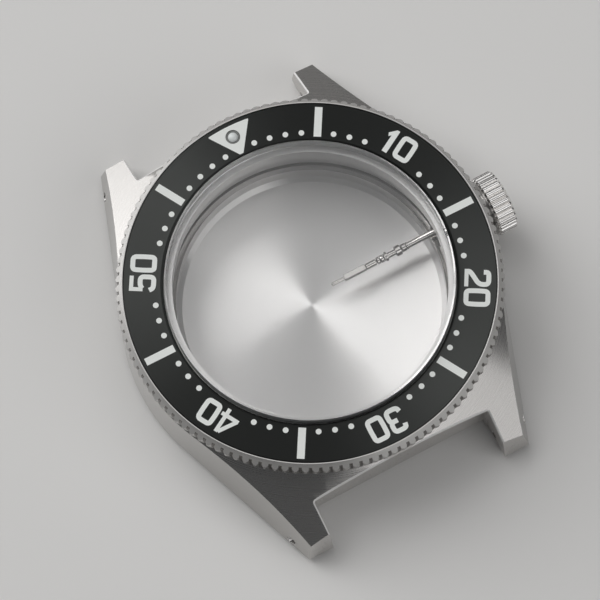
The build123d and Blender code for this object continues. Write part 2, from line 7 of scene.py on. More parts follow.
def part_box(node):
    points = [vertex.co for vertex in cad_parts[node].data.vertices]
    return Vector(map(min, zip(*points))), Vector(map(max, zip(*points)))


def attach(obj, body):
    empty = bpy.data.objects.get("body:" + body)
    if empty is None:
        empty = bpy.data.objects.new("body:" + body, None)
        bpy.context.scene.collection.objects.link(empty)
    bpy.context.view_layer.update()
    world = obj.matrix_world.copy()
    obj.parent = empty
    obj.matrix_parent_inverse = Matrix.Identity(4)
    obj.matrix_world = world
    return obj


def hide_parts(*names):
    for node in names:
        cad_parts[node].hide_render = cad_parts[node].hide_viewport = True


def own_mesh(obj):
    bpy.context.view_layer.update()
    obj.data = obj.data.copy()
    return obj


# An empty diver's watch case of the 40 mm class, laid on a pale table with its crown unscrewed.
# All places are in metres in the frame of the model: +Z up to the crystal, +X to the crown
# and +Y to twelve o'clock.

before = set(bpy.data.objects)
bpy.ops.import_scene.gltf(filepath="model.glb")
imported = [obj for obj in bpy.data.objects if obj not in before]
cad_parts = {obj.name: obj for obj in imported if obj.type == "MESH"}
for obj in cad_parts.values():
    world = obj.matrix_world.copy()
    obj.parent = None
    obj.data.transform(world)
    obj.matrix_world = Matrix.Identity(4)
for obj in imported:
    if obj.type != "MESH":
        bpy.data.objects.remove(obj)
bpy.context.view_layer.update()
bpy.ops.object.select_all(action="DESELECT")
MM = 0.001

# The room: a pale matt table far larger than the case, a large soft window lamp at the upper left,
# a ceiling lamp almost overhead and a weaker lamp opposite the window. The camera looks down
# steeply, from a little towards six o'clock and to the left.

table_size = 6
table_colour = (0.78, 0.77, 0.755, 1)
table_roughness = 0.75
bpy.ops.mesh.primitive_plane_add(size=table_size, location=(0, 0, 0))
table = bpy.context.object
table.name = "table"
table_paint = bpy.data.materials.new("table paint")
table_paint.use_nodes = True
table_shader = table_paint.node_tree.nodes["Principled BSDF"]
table_shader.inputs["Base Color"].default_value = table_colour
table_shader.inputs["Roughness"].default_value = table_roughness
table.data.materials.append(table_paint)

air_colour = (0.95, 0.97, 1, 1)
air_strength = 0.085
room = bpy.data.worlds.new("room")
room.use_nodes = True
room.node_tree.nodes["Background"].inputs["Color"].default_value = air_colour
room.node_tree.nodes["Background"].inputs["Strength"].default_value = air_strength
bpy.context.scene.world = room


def soft_lamp(name, azimuth, elevation, distance, width, height, brightness):
    """A flat lamp that looks at the case from an angle counted from the crown, anticlockwise."""
    level = distance * math.cos(math.radians(elevation))
    place = Vector((
        level * math.cos(math.radians(azimuth)),
        level * math.sin(math.radians(azimuth)),
        distance * math.sin(math.radians(elevation)),
    ))
    bpy.ops.object.light_add(type="AREA", location=place)
    lamp = bpy.context.object
    lamp.name = name
    lamp.data.shape = "RECTANGLE"
    lamp.data.size = width
    lamp.data.size_y = height
    lamp.data.energy = brightness * math.pi * width * height
    lamp.rotation_euler = place.to_track_quat("Z", "Y").to_euler()


soft_lamp("window lamp", azimuth=119, elevation=40, distance=0.9, width=0.75, height=1.0, brightness=2.4)
soft_lamp("ceiling lamp", azimuth=66, elevation=68, distance=1.0, width=0.9, height=0.8, brightness=0.79)
soft_lamp("room lamp", azimuth=-64, elevation=42, distance=0.9, width=0.9, height=0.5, brightness=1.25)

camera_place = (-0.04165793578, -0.09557035378, 0.36197377254)
camera_turn = (16.19127056, 1.49063650, -28.02268047)
lens_length = 216.91
sensor_width = 36
nearest, farthest = 0.01, 20
bpy.ops.object.camera_add(location=camera_place, rotation=[math.radians(turn) for turn in camera_turn])
camera = bpy.context.object
camera.data.lens = lens_length
camera.data.sensor_width = sensor_width
camera.data.clip_start = nearest
camera.data.clip_end = farthest
bpy.context.scene.camera = camera
bpy.context.scene.view_settings.view_transform = "Standard"

# The mid-case: one machined block of stainless steel with four lugs, turned on its top in fine rings
# and polished on its flanks. Its edges are broken with a stone, and its inside is turned to seat the
# crystal, the dial and the back.

merge_distance = 0.002 * MM


def dressed_copy(node, name, body, smooth_degrees=28):
    """A merged copy of a node's mesh, smooth but for its edges, that stands for the node."""
    piece = bpy.data.objects.new(name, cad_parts[node].data.copy())
    bpy.context.scene.collection.objects.link(piece)
    piece.data.materials.clear()
    bpy.ops.object.select_all(action="DESELECT")
    bpy.context.view_layer.objects.active = piece
    piece.select_set(True)
    bpy.ops.object.mode_set(mode="EDIT")
    bpy.ops.mesh.select_all(action="SELECT")
    bpy.ops.mesh.remove_doubles(threshold=merge_distance)
    bpy.ops.mesh.customdata_custom_splitnormals_clear()
    bpy.ops.object.mode_set(mode="OBJECT")
    bpy.ops.object.shade_smooth_by_angle(angle=math.radians(smooth_degrees))
    piece.select_set(False)
    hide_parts(node)
    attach(piece, body)
    return piece


def plain_finish(name, colour, metallic):
    """A material of one colour, with a node that reads places on the object for its patterns."""
    material = bpy.data.materials.new(name)
    material.use_nodes = True
    shader = material.node_tree.nodes["Principled BSDF"]
    shader.inputs["Base Color"].default_value = (*colour, 1)
    shader.inputs["Metallic"].default_value = metallic
    place = material.node_tree.nodes.new("ShaderNodeTexCoord")
    place.name = "place"
    return material


def join(material, source, output, target, entry):
    material.node_tree.links.new(source.outputs[output], target.inputs[entry])


def maths(material, operation, first, second):
    """A sum on two values, each a number or an output of a node."""
    node = material.node_tree.nodes.new("ShaderNodeMath")
    node.operation = operation
    for entry, value in enumerate((first, second)):
        if isinstance(value, (int, float)):
            node.inputs[entry].default_value = value
        else:
            material.node_tree.links.new(value, node.inputs[entry])
    return node.outputs[0]


noise_low, noise_high = 0.3, 0.7


def roughen(material, noise, rough_low, rough_high, depth):
    """Lets a noise move the roughness between two values, and the surface up and down by a depth."""
    nodes = material.node_tree.nodes
    shader = nodes["Principled BSDF"]
    rough = nodes.new("ShaderNodeMapRange")
    rough.inputs["From Min"].default_value = noise_low
    rough.inputs["From Max"].default_value = noise_high
    rough.inputs["To Min"].default_value = rough_low
    rough.inputs["To Max"].default_value = rough_high
    join(material, noise, "Fac", rough, "Value")
    join(material, rough, "Result", shader, "Roughness")
    bump = nodes.new("ShaderNodeBump")
    bump.inputs["Distance"].default_value = depth
    join(material, noise, "Fac", bump, "Height")
    join(material, bump, "Normal", shader, "Normal")


ring_wander = 2.5
wander_scale = 90


def turned_finish(name, colour, pitch, depth, rough_low, rough_high, anisotropy):
    """Steel with the fine rings that a lathe leaves, which stretch each highlight across themselves."""
    material = plain_finish(name, colour, metallic=1.0)
    nodes = material.node_tree.nodes
    shader = nodes["Principled BSDF"]
    flat = nodes.new("ShaderNodeVectorMath")
    flat.operation = "MULTIPLY"
    join(material, nodes["place"], "Object", flat, 0)
    flat.inputs[1].default_value = (1, 1, 0)
    radius = nodes.new("ShaderNodeVectorMath")
    radius.operation = "LENGTH"
    join(material, flat, 0, radius, 0)
    wander = nodes.new("ShaderNodeTexNoise")
    wander.inputs["Scale"].default_value = wander_scale
    join(material, nodes["place"], "Object", wander, "Vector")
    drift = maths(material, "MULTIPLY", wander.outputs["Fac"], ring_wander)
    rings = nodes.new("ShaderNodeTexNoise")
    rings.noise_dimensions = "1D"
    rings.inputs["Scale"].default_value = 1
    rings.inputs["Detail"].default_value = 3
    count = maths(material, "ADD", maths(material, "DIVIDE", radius.outputs["Value"], pitch), drift)
    material.node_tree.links.new(count, rings.inputs["W"])
    roughen(material, rings, rough_low, rough_high, depth)
    outwards = nodes.new("ShaderNodeVectorTransform")
    outwards.vector_type = "VECTOR"
    outwards.convert_from = "OBJECT"
    outwards.convert_to = "WORLD"
    join(material, flat, 0, outwards, 0)
    unit = nodes.new("ShaderNodeVectorMath")
    unit.operation = "NORMALIZE"
    join(material, outwards, 0, unit, 0)
    join(material, unit, 0, shader, "Tangent")
    shader.inputs["Anisotropic"].default_value = anisotropy
    return material


def worn_finish(name, colour, scale, rough_low, rough_high, depth, metallic=1.0):
    """A polished or moulded surface with faint unevenness and hairlines."""
    material = plain_finish(name, colour, metallic)
    noise = material.node_tree.nodes.new("ShaderNodeTexNoise")
    noise.inputs["Scale"].default_value = scale
    noise.inputs["Detail"].default_value = 4
    join(material, material.node_tree.nodes["place"], "Object", noise, "Vector")
    roughen(material, noise, rough_low, rough_high, depth)
    return material


steel_colour = (0.63, 0.615, 0.60)
case_top_steel = turned_finish(
    "case steel turned in rings", (0.56, 0.545, 0.53),
    pitch=0.05 * MM, depth=0.0004 * MM, rough_low=0.25, rough_high=0.31, anisotropy=0.8,
)
# The polished flanks are painted darker than the other steel of the case, as a painted reflection of the
# shaded table beside them.
case_flank_painted_dark = worn_finish(
    "case polished steel painted darker as reflection", (0.5, 0.49, 0.475),
    scale=900, rough_low=0.05, rough_high=0.11, depth=0.0002 * MM,
)
case_satin_steel = worn_finish(
    "case steel satin", steel_colour,
    scale=6000, rough_low=0.26, rough_high=0.36, depth=0.0006 * MM,
)
# The inside of the case is painted lighter than the steel outside, as painted light where the crystal keeps
# the lamps off.
case_inside_painted_light = turned_finish(
    "case inside steel painted lighter as light", (0.76, 0.75, 0.74),
    pitch=0.08 * MM, depth=0.0006 * MM, rough_low=0.36, rough_high=0.46, anisotropy=0.3,
)
# The bevels where the edges are broken get a pale, partly metallic surface that is a painted highlight, so
# that they show as bright lines from any side.
case_edge_painted_highlight = worn_finish(
    "case edges painted pale as a highlight", (0.9, 0.89, 0.88),
    scale=900, rough_low=0.45, rough_high=0.55, depth=0.0002 * MM, metallic=0.4,
)
case_steels = (case_top_steel, case_flank_painted_dark, case_satin_steel, case_inside_painted_light, case_edge_painted_highlight)
top, flank, satin, inside, edge = range(len(case_steels))

outside_radius = 19.4 * MM
neck_foot_radius = 16.5 * MM
strap_half_width = 10.05 * MM
strap_wall_start = 18.8 * MM
top_slope = 0.75
edge_slope = 0.3
end_slope = 0.85
mid_case = dressed_copy("mid_case", "case_middle", "case", 25)
for steel in case_steels:
    mid_case.data.materials.append(steel)
for face in mid_case.data.polygons:
    place = face.center
    reach = math.hypot(place.x, place.y)
    outside = reach > outside_radius
    between_lugs = abs(place.x) < strap_half_width and abs(place.y) > strap_wall_start
    if face.normal.z > top_slope:
        face.material_index = top if reach > neck_foot_radius else inside
    # Bevels on the outside take the painted highlight.
    elif outside and face.normal.z > edge_slope:
        face.material_index = edge
    elif between_lugs:
        face.material_index = satin
    # Flanks take the darker painted reflection; the end faces stay satin.
    elif outside:
        face.material_index = flank if abs(face.normal.y) < end_slope else satin
    # The inside takes the lighter painted light.
    else:
        face.material_index = inside

# The crown tube, a steel sleeve pressed into the case wall with a rubber ring under its collar.
# The same black rubber makes the rings of the back, the crown and the post, each in its groove.

# The tube is painted darker than the other steel, as painted shade on its collar in the gap under the
# crown.
tube_painted_shade = worn_finish(
    "crown tube painted dark as shade", (0.4, 0.39, 0.38),
    scale=2000, rough_low=0.26, rough_high=0.36, depth=0.0003 * MM,
)
crown_tube = dressed_copy("crown_tube", "tube_for_crown", "case")
crown_tube.data.materials.append(tube_painted_shade)


def finish_nodes(material, *nodes):
    """Gives a finish to nodes of the frame that stay as they are."""
    for node in nodes:
        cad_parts[node].data.materials.clear()
        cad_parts[node].data.materials.append(material)


rubber = worn_finish(
    "black rubber", (0.018, 0.018, 0.018),
    scale=4000, rough_low=0.42, rough_high=0.6, depth=0.004 * MM, metallic=0,
)
finish_nodes(
    rubber, "tube_seal", "case_back_gasket", "crown_gasket", "post_gasket_inner", "post_gasket_outer",
)

# The crystal: a flat round window with a narrow bevel and a ground edge, pressed into a white nylon
# ring in the neck. Its foot stands a hair above its ledge, because glass and steel in one plane
# show as a black ring.

# The nylon is given three-quarters metal shine, so that it shows bright under the crystal where it would
# lie in shade: painted light.
nylon = worn_finish(
    "white nylon", (0.85, 0.85, 0.83),
    scale=3000, rough_low=0.5, rough_high=0.6, depth=0.002 * MM, metallic=0.75,
)
finish_nodes(nylon, "crystal_gasket")

glass = plain_finish("crystal glass", (1, 1, 1), metallic=0)
glass_shader = glass.node_tree.nodes["Principled BSDF"]
glass_shader.inputs["Roughness"].default_value = 0
glass_shader.inputs["Transmission Weight"].default_value = 1
glass_shader.inputs["IOR"].default_value = 1.52
ground_glass = worn_finish(
    "ground edge of the crystal", (0.88, 0.89, 0.89),
    scale=4000, rough_low=0.5, rough_high=0.62, depth=0.001 * MM,
)
crystal_low, crystal_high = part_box("crystal")
crystal_radius = crystal_high[0]
crystal_lift = 0.02 * MM
crystal_foot, crystal_top = crystal_low[2] + crystal_lift, crystal_high[2]
crystal_bevel = 0.18 * MM
crystal_foot_bevel = 0.1 * MM
crystal_sides = 180
side_slope = 0.3


def turned_rings(name, section, count):
    """A ring drawn by extruding a circle of edges from one radius and height of its section to the next."""
    bpy.ops.object.select_all(action="DESELECT")
    radius, height = section[0]
    bpy.ops.mesh.primitive_circle_add(
        vertices=count, radius=radius, fill_type="NOTHING", location=(0, 0, 0),
    )
    ring = bpy.context.object
    ring.name = name
    bpy.ops.object.mode_set(mode="EDIT")
    bpy.ops.mesh.select_all(action="SELECT")
    bpy.ops.transform.translate(value=(0, 0, height))
    for new_radius, new_height in section[1:]:
        bpy.ops.mesh.extrude_edges_move(TRANSFORM_OT_translate={"value": (0, 0, new_height - height)})
        grow = new_radius / radius
        bpy.ops.transform.resize(value=(grow, grow, 1), center_override=(0, 0, 0))
        radius, height = new_radius, new_height
    bpy.ops.object.mode_set(mode="OBJECT")
    return ring


def closed_turning(name, section, count, smooth_degrees=30):
    """A solid turned about the axis: the rings of a section, with its two open ends filled."""
    piece = turned_rings(name, section, count)
    bpy.ops.object.mode_set(mode="EDIT")
    bpy.ops.mesh.select_all(action="SELECT")
    bpy.ops.mesh.fill_holes(sides=0)
    bpy.ops.mesh.select_all(action="SELECT")
    bpy.ops.mesh.normals_make_consistent(inside=False)
    bpy.ops.object.mode_set(mode="OBJECT")
    bpy.ops.object.shade_smooth_by_angle(angle=math.radians(smooth_degrees))
    return piece


crystal = closed_turning("window", [
    (crystal_radius - crystal_foot_bevel, crystal_foot),
    (crystal_radius, crystal_foot + crystal_foot_bevel),
    (crystal_radius, crystal_top - crystal_bevel),
    (crystal_radius - crystal_bevel, crystal_top),
], crystal_sides)
crystal.data.materials.append(glass)
crystal.data.materials.append(ground_glass)
for face in crystal.data.polygons:
    face.material_index = 1 if abs(face.normal.z) < side_slope else 0
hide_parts("crystal")
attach(crystal, "case")

# The springs under the bezel, both of hard spring steel: the drawn wire that holds it on its neck,
# and the strip in a pocket of the case whose pawl clicks in the ratchet.

spring_steel = worn_finish(
    "spring steel", (0.5, 0.51, 0.53),
    scale=5000, rough_low=0.2, rough_high=0.32, depth=0.0005 * MM,
)
finish_nodes(spring_steel, "bezel_wire", "click_spring")

# The bezel: a turned steel ring with a polished rim and a cone below it, 120 rounded teeth cut down
# its edge, a groove for the spring wire in its bore and a ratchet of 120 saw teeth in its foot.

tooth_count = 120
points_per_tooth = 6
# Share of the full height at each of the points round a tooth, and of the full depth in the ratchet
tooth_shape = (0, 0.45, 0.86, 1, 0.86, 0.45)
ratchet_shape = (0.5, 1, 0, 0, 0, 0.25)
bezel_rest_degrees = 0.9
bezel_foot, bezel_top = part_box("bezel")[0][2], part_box("bezel")[1][2]
bezel_bore = 16.35 * MM
wire_groove_depth = 0.32 * MM
wire_groove_low, wire_groove_high = 8.88 * MM, 9.42 * MM
insert_seat = 10.2 * MM
rim_inner, rim_outer = 19.0 * MM, 19.13 * MM
rim_drop = 0.03 * MM
rim_level = 0.9
tooth_root, tooth_tip = 19.43 * MM, 19.79 * MM
cone_drop = 0.92 * MM
tooth_foot_drop = 1.4 * MM
bezel_foot_radius = 19.25 * MM
bezel_foot_bevel = 0.1 * MM
ratchet_inner, ratchet_outer = 16.9 * MM, 18.0 * MM
ratchet_depth = 0.35 * MM
hair = 0.01 * MM
cone_fall = (cone_drop - rim_drop) / (tooth_tip - rim_outer)
root_drop = rim_drop + cone_fall * (tooth_root - rim_outer)
notch_start = tooth_root - 2 * hair

# Radius and height of each ring of the section, from the foot of the bore round to the foot again
bezel_section = [
    (bezel_bore, bezel_foot),
    (bezel_bore, wire_groove_low),
    (bezel_bore + wire_groove_depth, wire_groove_low),
    (bezel_bore + wire_groove_depth, wire_groove_high),
    (bezel_bore, wire_groove_high),
    (bezel_bore, insert_seat),
    (rim_inner, insert_seat),
    (rim_inner, bezel_top - rim_drop),
    (rim_inner + rim_drop, bezel_top),
    (rim_outer - rim_drop, bezel_top),
    (rim_outer, bezel_top - rim_drop),
    (notch_start, bezel_top - rim_drop - cone_fall * (notch_start - rim_outer)),
    (tooth_tip, bezel_top - cone_drop),
    (tooth_tip, bezel_top - tooth_foot_drop),
    (bezel_foot_radius + bezel_foot_bevel, bezel_foot + bezel_foot_bevel),
    (bezel_foot_radius, bezel_foot),
    (ratchet_outer, bezel_foot),
    (ratchet_outer - hair, bezel_foot),
    (ratchet_inner + hair, bezel_foot),
    (ratchet_inner, bezel_foot),
]


def select_ring(mesh, teeth, points, phase, radius, height):
    """Selects one point of every tooth, on the ring at a radius and height."""
    bpy.ops.mesh.select_all(action="DESELECT")
    for vertex in mesh.verts:
        if abs(vertex.co.z - height) < hair / 2 and abs(vertex.co.xy.length - radius) < hair / 2:
            turn = math.atan2(vertex.co.y, vertex.co.x) * teeth * points / (2 * math.pi)
            vertex.select = round(turn) % points == phase


def close_ring(mesh):
    """Bridges the first and the last circle of a turned ring, the only edges with a face on one side."""
    bpy.ops.mesh.select_all(action="DESELECT")
    bpy.ops.mesh.select_mode(type="EDGE")
    for edge in mesh.edges:
        edge.select = edge.is_boundary
    bpy.ops.mesh.bridge_edge_loops()
    bpy.ops.mesh.select_mode(type="VERT")
    bpy.ops.mesh.select_all(action="SELECT")
    bpy.ops.mesh.normals_make_consistent(inside=False)


bezel = turned_rings("turning_bezel", bezel_section, tooth_count * points_per_tooth)
bpy.ops.object.mode_set(mode="EDIT")
mesh = bmesh.from_edit_mesh(bezel.data)
for phase in range(points_per_tooth):
    tooth_radius = tooth_root + tooth_shape[phase] * (tooth_tip - tooth_root)
    shrink = tooth_radius / tooth_tip
    rise = (1 - tooth_shape[phase]) * (cone_drop - root_drop)
    select_ring(mesh, tooth_count, points_per_tooth, phase, tooth_tip, bezel_top - cone_drop)
    bpy.ops.transform.resize(value=(shrink, shrink, 1), center_override=(0, 0, 0))
    bpy.ops.transform.translate(value=(0, 0, rise))
    select_ring(mesh, tooth_count, points_per_tooth, phase, tooth_tip, bezel_top - tooth_foot_drop)
    bpy.ops.transform.resize(value=(shrink, shrink, 1), center_override=(0, 0, 0))
    for radius in (ratchet_outer - hair, ratchet_inner + hair):
        select_ring(mesh, tooth_count, points_per_tooth, phase, radius, bezel_foot)
        bpy.ops.transform.translate(value=(0, 0, ratchet_shape[phase] * ratchet_depth))
close_ring(mesh)
# With no window this turns by minus its value, so the bezel ends clockwise of twelve o'clock
bpy.ops.transform.rotate(value=math.radians(bezel_rest_degrees), orient_axis="Z", center_override=(0, 0, 0))
bpy.ops.object.mode_set(mode="OBJECT")
bpy.ops.object.shade_smooth_by_angle(angle=math.radians(24))

bezel_band_steel = turned_finish(
    "bezel steel satin", (0.62, 0.61, 0.595),
    pitch=0.05 * MM, depth=0.0006 * MM, rough_low=0.36, rough_high=0.46, anisotropy=0.9,
)
bezel_edge_steel = worn_finish(
    "bezel steel polished", steel_colour,
    scale=1500, rough_low=0.08, rough_high=0.14, depth=0.0003 * MM,
)
# The faces in the notches between the teeth get a dark steel that is painted shade: it stands in for the
# shade and dark reflections down in the valleys.
bezel_notch_painted_shade = worn_finish(
    "bezel steel with painted shade in the notches", (0.2, 0.19, 0.18),
    scale=3000, rough_low=0.34, rough_high=0.46, depth=0.0006 * MM,
)
for steel in (bezel_band_steel, bezel_edge_steel, bezel_notch_painted_shade):
    bezel.data.materials.append(steel)
for face in bezel.data.polygons:
    reach = math.hypot(face.center.x, face.center.y)
    turn = math.degrees(math.atan2(face.center.y, face.center.x)) + bezel_rest_degrees
    phase = turn * tooth_count / 360 % 1
    in_notch = abs(phase - 0.5) > 0.5 - 1 / points_per_tooth
    if rim_inner + rim_drop < reach < rim_outer and face.normal.z > rim_level:
        face.material_index = 1
    # Faces down in the notches take the painted shade.
    elif reach > notch_start and in_notch:
        face.material_index = 2
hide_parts("bezel")
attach(bezel, "bezel")

# The insert: a flat aluminium ring, black on its brushed face and bevelled towards the crystal.
# A ring of clear double-sided tape holds it in the bezel, and a hole takes the glass bead.

tape = worn_finish(
    "clear tape", (0.62, 0.61, 0.56),
    scale=2500, rough_low=0.3, rough_high=0.42, depth=0.002 * MM, metallic=0,
)
finish_nodes(tape, "insert_adhesive")

insert_black = turned_finish(
    "black insert", (0.05, 0.052, 0.05),
    pitch=0.05 * MM, depth=0.0008 * MM, rough_low=0.36, rough_high=0.46, anisotropy=1.0,
)
insert_low, insert_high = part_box("bezel_insert")
insert_foot, insert_top = insert_low[2], insert_high[2]
insert_width = 4.05 * MM
insert_bevel_width = 0.27 * MM
insert_bevel_depth = 0.45 * MM
insert_edge = 0.07 * MM
insert_outer = (insert_high[0] - insert_low[0]) / 2
insert_inner = insert_outer - insert_width
insert_sides = 240
insert = turned_rings("minute_ring", [
    (insert_inner, insert_foot),
    (insert_outer, insert_foot),
    (insert_outer, insert_top - insert_edge),
    (insert_outer - insert_edge, insert_top),
    (insert_inner + insert_bevel_width, insert_top),
    (insert_inner, insert_top - insert_bevel_depth),
], insert_sides)
bpy.ops.object.mode_set(mode="EDIT")
close_ring(bmesh.from_edit_mesh(insert.data))
bpy.ops.object.mode_set(mode="OBJECT")
bead_low, bead_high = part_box("lume_pip")
bead_place = Vector(((bead_low[0] + bead_high[0]) / 2, (bead_low[1] + bead_high[1]) / 2, 0))
bead_hole_radius = 0.76 * MM
drill_length = 60 * MM
drill_sides = 48


def drill_bead_hole(piece, place, radius):
    """Cuts the round hole for the bead right through a piece."""
    bpy.ops.mesh.primitive_cylinder_add(
        vertices=drill_sides, radius=radius, depth=drill_length, location=place,
    )
    drill = bpy.context.object
    cut = piece.modifiers.new("bead hole", "BOOLEAN")
    cut.operation = "DIFFERENCE"
    cut.object = drill
    bpy.context.view_layer.objects.active = piece
    bpy.ops.object.modifier_apply(modifier=cut.name)
    bpy.data.objects.remove(drill)


drill_bead_hole(insert, bead_place, bead_hole_radius)
bpy.ops.object.select_all(action="DESELECT")
insert.select_set(True)
bpy.ops.object.shade_smooth_by_angle(angle=math.radians(28))
insert.data.materials.append(insert_black)
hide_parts("bezel_insert")
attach(insert, "bezel")

# The marks on the insert, one thin coat of off-white paint that turns with it: a triangle at zero,
# then numerals, bars and dots. Each is drawn at twelve o'clock, with its height counted outwards
# from the axis, and turned to its minute.

paint_thickness = 0.012 * MM
layer_step = 0.001 * MM
same_place = 0.001 * MM
degrees_per_minute = 6
digit_foot_radius = 15.59 * MM
digit_height = 2.71 * MM
round_stroke = 0.5 * MM
flat_stroke = 0.41 * MM


def place_vertex(mesh_vertex, place):
    """Moves one vertex of the mesh being edited to a place in its plane."""
    bpy.ops.mesh.select_all(action="DESELECT")
    mesh_vertex.select = True
    bpy.ops.transform.translate(value=Vector((*place, 0)) - mesh_vertex.co)


def thicken_paint():
    """Gives the flat paint being edited its thickness, with all its faces outwards."""
    bpy.ops.mesh.extrude_region_move(TRANSFORM_OT_translate={"value": (0, 0, paint_thickness)})
    bpy.ops.mesh.select_all(action="SELECT")
    bpy.ops.mesh.normals_make_consistent(inside=False)
    bpy.ops.object.mode_set(mode="OBJECT")


def paint_strip(name, cross_lines):
    """A strip of paint drawn by extruding its last edge to each next cross line, a pair of points."""
    bpy.ops.mesh.primitive_plane_add(size=MM)
    strip = bpy.context.object
    strip.name = name
    bpy.ops.object.mode_set(mode="EDIT")
    mesh = bmesh.from_edit_mesh(strip.data)
    left_back, right_back, left, right = sorted(mesh.verts, key=lambda vertex: (vertex.co.y, vertex.co.x))
    for vertex, place in zip((left_back, right_back, left, right), (*cross_lines[0], *cross_lines[1])):
        place_vertex(vertex, place)
    for left_place, right_place in cross_lines[2:]:
        bpy.ops.mesh.select_all(action="DESELECT")
        left.select = True
        right.select = True
        mesh.select_flush(True)
        before = left.co.copy()
        bpy.ops.mesh.extrude_edges_move(TRANSFORM_OT_translate={"value": (0, 0, 0)})
        pair = [vertex for vertex in mesh.verts if vertex.select]
        left, right = sorted(pair, key=lambda vertex: (vertex.co - before).length)
        place_vertex(left, left_place)
        place_vertex(right, right_place)
    bpy.ops.mesh.select_all(action="SELECT")
    bpy.ops.mesh.remove_doubles(threshold=same_place)
    thicken_paint()
    return strip


def rounded_path(corners, radius, parts=5):
    """An open path with each inner corner drawn as a curve, which takes just under half of a short side."""
    path = [Vector(corners[0])]
    for before, corner, after in zip(corners, corners[1:], corners[2:]):
        corner = Vector(corner)
        arriving = Vector(before) - corner
        leaving = Vector(after) - corner
        start = corner + arriving.normalized() * min(radius, arriving.length / 2.1)
        end = corner + leaving.normalized() * min(radius, leaving.length / 2.1)
        for part in range(parts + 1):
            share = part / parts
            path.append(start.lerp(corner, share).lerp(corner.lerp(end, share), share))
    path.append(Vector(corners[-1]))
    return path


def paint_stroke(name, path, width):
    """A strip of even width along a path, with mitred corners."""
    cross_lines = []
    closed = (Vector(path[0]) - Vector(path[-1])).length < same_place
    for index, point in enumerate(path):
        point = Vector(point)
        before = Vector(path[index - 1]) if index else Vector(path[-2]) if closed else None
        after = Vector(path[index + 1]) if index + 1 < len(path) else Vector(path[1]) if closed else None
        arriving = (point - before).normalized() if before else (after - point).normalized()
        leaving = (after - point).normalized() if after else arriving
        middle = (arriving + leaving).normalized()
        side = Vector((-middle.y, middle.x)) * (width / 2 / middle.dot(leaving))
        cross_lines.append((point + side, point - side))
    return paint_strip(name, cross_lines)


def in_mm(*points):
    return [(x * MM, y * MM) for x, y in points]


def curved_stroke(name, radius, *corners):
    """A round stroke through corners given in millimetres."""
    return paint_stroke(name, rounded_path(in_mm(*corners), radius), round_stroke)


def flat_line(name, *corners):
    """A straight-edged stroke through corners given in millimetres."""
    return paint_stroke(name, in_mm(*corners), flat_stroke)


def zero(name, middle_x):
    """The figure 0, a loop with slightly bowed sides."""
    foot = round_stroke / 2
    head = digit_height - round_stroke / 2
    half_width = 0.68 * MM
    bow = 1.05
    bowed = half_width * bow
    corner_radius = 0.36 * MM
    corners = [(0, foot), (half_width, foot), (bowed, digit_height / 2), (half_width, head),
               (-half_width, head), (-bowed, digit_height / 2), (-half_width, foot), (0, foot)]
    path = [(middle_x + point.x, point.y) for point in rounded_path(corners, corner_radius)]
    return paint_stroke(name, path, round_stroke)


bowl = 0.42 * MM
five_bowl = 0.4 * MM
top_line = 2.48
foot_line = 0.22
tens = {
    10: [
        paint_strip("one_stem", [in_mm((-1.34, 0), (-0.78, 0)), in_mm((-1.34, 1.91), (-0.78, 1.91)),
                                 in_mm((-1.09, 2.7), (-0.78, 2.7))]),
        paint_strip("one_flag", [in_mm((-1.34, 1.91), (-1.09, 2.7)), in_mm((-1.58, 1.67), (-1.75, 2.03))]),
    ],
    20: [
        curved_stroke("two_curve", bowl, (-1.61, 1.95), (-1.61, top_line), (-0.32, top_line),
                      (-0.32, 1.5), (-1.63, 0.6), (-1.66, 0.3)),
        flat_line("two_foot", (-1.89, foot_line), (-0.05, foot_line)),
    ],
    30: [
        curved_stroke("three_top", bowl, (-1.66, 2.0), (-1.6, top_line), (-0.38, top_line),
                      (-0.38, 1.42), (-1.15, 1.42)),
        curved_stroke("three_foot", bowl, (-1.1, 1.42), (-0.34, 1.42), (-0.34, foot_line),
                      (-1.55, foot_line), (-1.69, 0.68)),
    ],
    40: [
        flat_line("four_stem", (-0.54, 0), (-0.54, 2.72)),
        flat_line("four_slope", (-0.74, 2.6), (-1.84, 0.82)),
        flat_line("four_bar", (-2.03, 0.76), (-0.05, 0.76)),
    ],
    50: [
        flat_line("five_top", (-0.26, top_line), (-1.66, top_line), (-1.66, 1.3)),
        curved_stroke("five_bowl", five_bowl, (-1.55, 1.36), (-1.2, 1.6), (-0.33, 1.6),
                      (-0.33, foot_line), (-1.5, foot_line), (-1.72, 0.64)),
    ],
}
zero_beside_one = 0.675 * MM
zero_beside_others = 1.08 * MM
marks = []
for minute, strokes in tens.items():
    strokes.append(zero(f"zero_of_{minute}", zero_beside_one if minute == 10 else zero_beside_others))
    for layer, stroke in enumerate(strokes):
        stroke.location = (0, digit_foot_radius, layer * layer_step)
        marks.append((stroke, minute))

bar_inner = 15.37 * MM
bar_outer = 18.58 * MM
bar_half_width = 0.39 * MM
bar = paint_strip("bar", [((-bar_half_width, bar_inner), (bar_half_width, bar_inner)),
                          ((-bar_half_width, bar_outer), (bar_half_width, bar_outer))])
dot_circle = 15.79 * MM
dot_radius = 0.295 * MM
dot_sides = 20
bpy.ops.mesh.primitive_circle_add(
    vertices=dot_sides, radius=dot_radius, fill_type="NGON", location=(0, dot_circle, 0),
)
dot = bpy.context.object
bpy.ops.object.mode_set(mode="EDIT")
bpy.ops.mesh.select_all(action="SELECT")
thicken_paint()
for minute in range(1, 60):
    beside_numeral = minute % 10 in (1, 9) and minute not in (1, 59)
    if minute % 10 == 0 or beside_numeral:
        continue
    original = bar if minute % 5 == 0 else dot
    copy = original.copy()
    copy.data = original.data.copy()
    bpy.context.scene.collection.objects.link(copy)
    marks.append((copy, minute))
bpy.data.objects.remove(bar)
bpy.data.objects.remove(dot)

